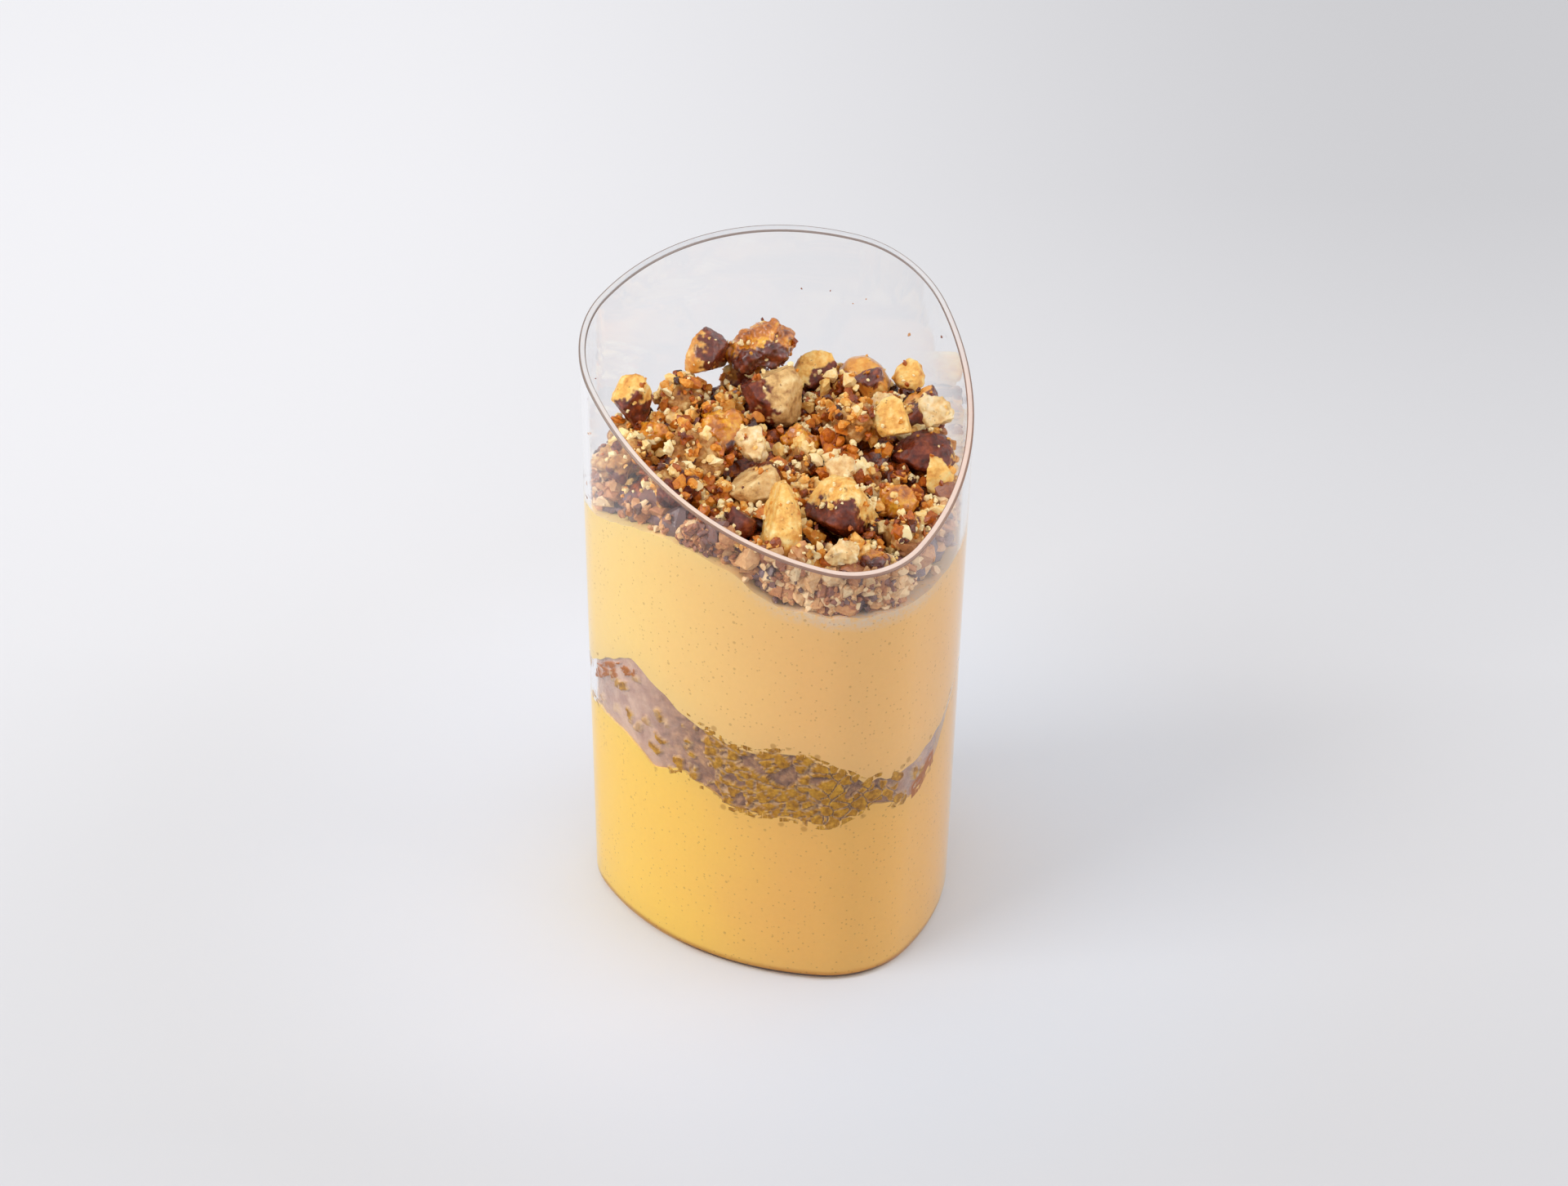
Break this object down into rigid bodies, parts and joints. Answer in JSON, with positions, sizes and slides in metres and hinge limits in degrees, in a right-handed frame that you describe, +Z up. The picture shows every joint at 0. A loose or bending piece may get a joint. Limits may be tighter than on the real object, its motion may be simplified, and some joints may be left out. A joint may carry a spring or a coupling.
{
  "type": "filled dessert cup",
  "caption": "Clear rounded-triangle dessert cup with a slanted mouth, filled with layers of golden mousse and praline and topped with chopped caramelised nuts.",
  "frame": {"origin": "centre of the plan box of the cup on the table, under the foot ring", "axes": "+Z up, -Y towards the low lip of the mouth, +X to the right when seen from the low lip"},
  "size_m": [0.056, 0.0558, 0.0964],
  "materials": {
    "clear_plastic": "clear moulded polystyrene, polished, with fine scuffs",
    "lower_mousse": "aerated mousse, deep golden orange, wet against the wall",
    "upper_mousse": "aerated mousse, paler golden, wet against the wall",
    "praline": "crushed caramelised nuts, rough, golden brown",
    "crumble": "fine nut and caramel crumbs",
    "hazelnut_skin": "hazelnut with red-brown skin under a thin caramel glaze",
    "hazelnut_flesh": "broken hazelnut, golden flesh and some skin",
    "pale_nut": "broken pale nut, matte",
    "caramel": "glossy amber caramel with crumbs"
  },
  "bodies": {
    "root": {"cup": "clear_plastic", "lower_mousse": "lower_mousse", "praline_layer": "praline", "upper_mousse": "upper_mousse", "crumble_bed": "crumble", "hazelnut_half_1": "hazelnut_skin", "hazelnut_half_2": "hazelnut_skin", "hazelnut_half_3": "hazelnut_skin", "hazelnut_half_4": "hazelnut_skin", "hazelnut_chunk_1": "hazelnut_flesh", "hazelnut_chunk_2": "hazelnut_flesh", "hazelnut_chunk_3": "hazelnut_flesh", "hazelnut_chunk_4": "hazelnut_flesh", "hazelnut_chunk_5": "hazelnut_flesh", "hazelnut_chunk_6": "hazelnut_flesh", "hazelnut_chunk_7": "hazelnut_flesh", "hazelnut_chunk_8": "hazelnut_flesh", "praline_lump_1": "praline", "praline_lump_2": "praline", "praline_lump_3": "praline", "praline_lump_4": "praline", "praline_lump_5": "praline", "praline_lump_6": "praline", "praline_lump_7": "praline", "praline_lump_8": "praline", "praline_lump_9": "praline", "praline_lump_10": "praline", "caramel_lump_1": "caramel", "caramel_lump_2": "caramel", "caramel_lump_3": "caramel", "caramel_lump_4": "caramel", "caramel_lump_5": "caramel", "caramel_lump_6": "caramel", "nut_crumb_1": "pale_nut", "nut_crumb_2": "pale_nut", "nut_crumb_3": "pale_nut", "nut_crumb_4": "pale_nut", "nut_crumb_5": "pale_nut", "nut_crumb_6": "pale_nut", "nut_sliver_1": "pale_nut", "nut_sliver_2": "pale_nut", "nut_sliver_3": "pale_nut", "nut_sliver_4": "pale_nut"}
  },
  "joints": []
}
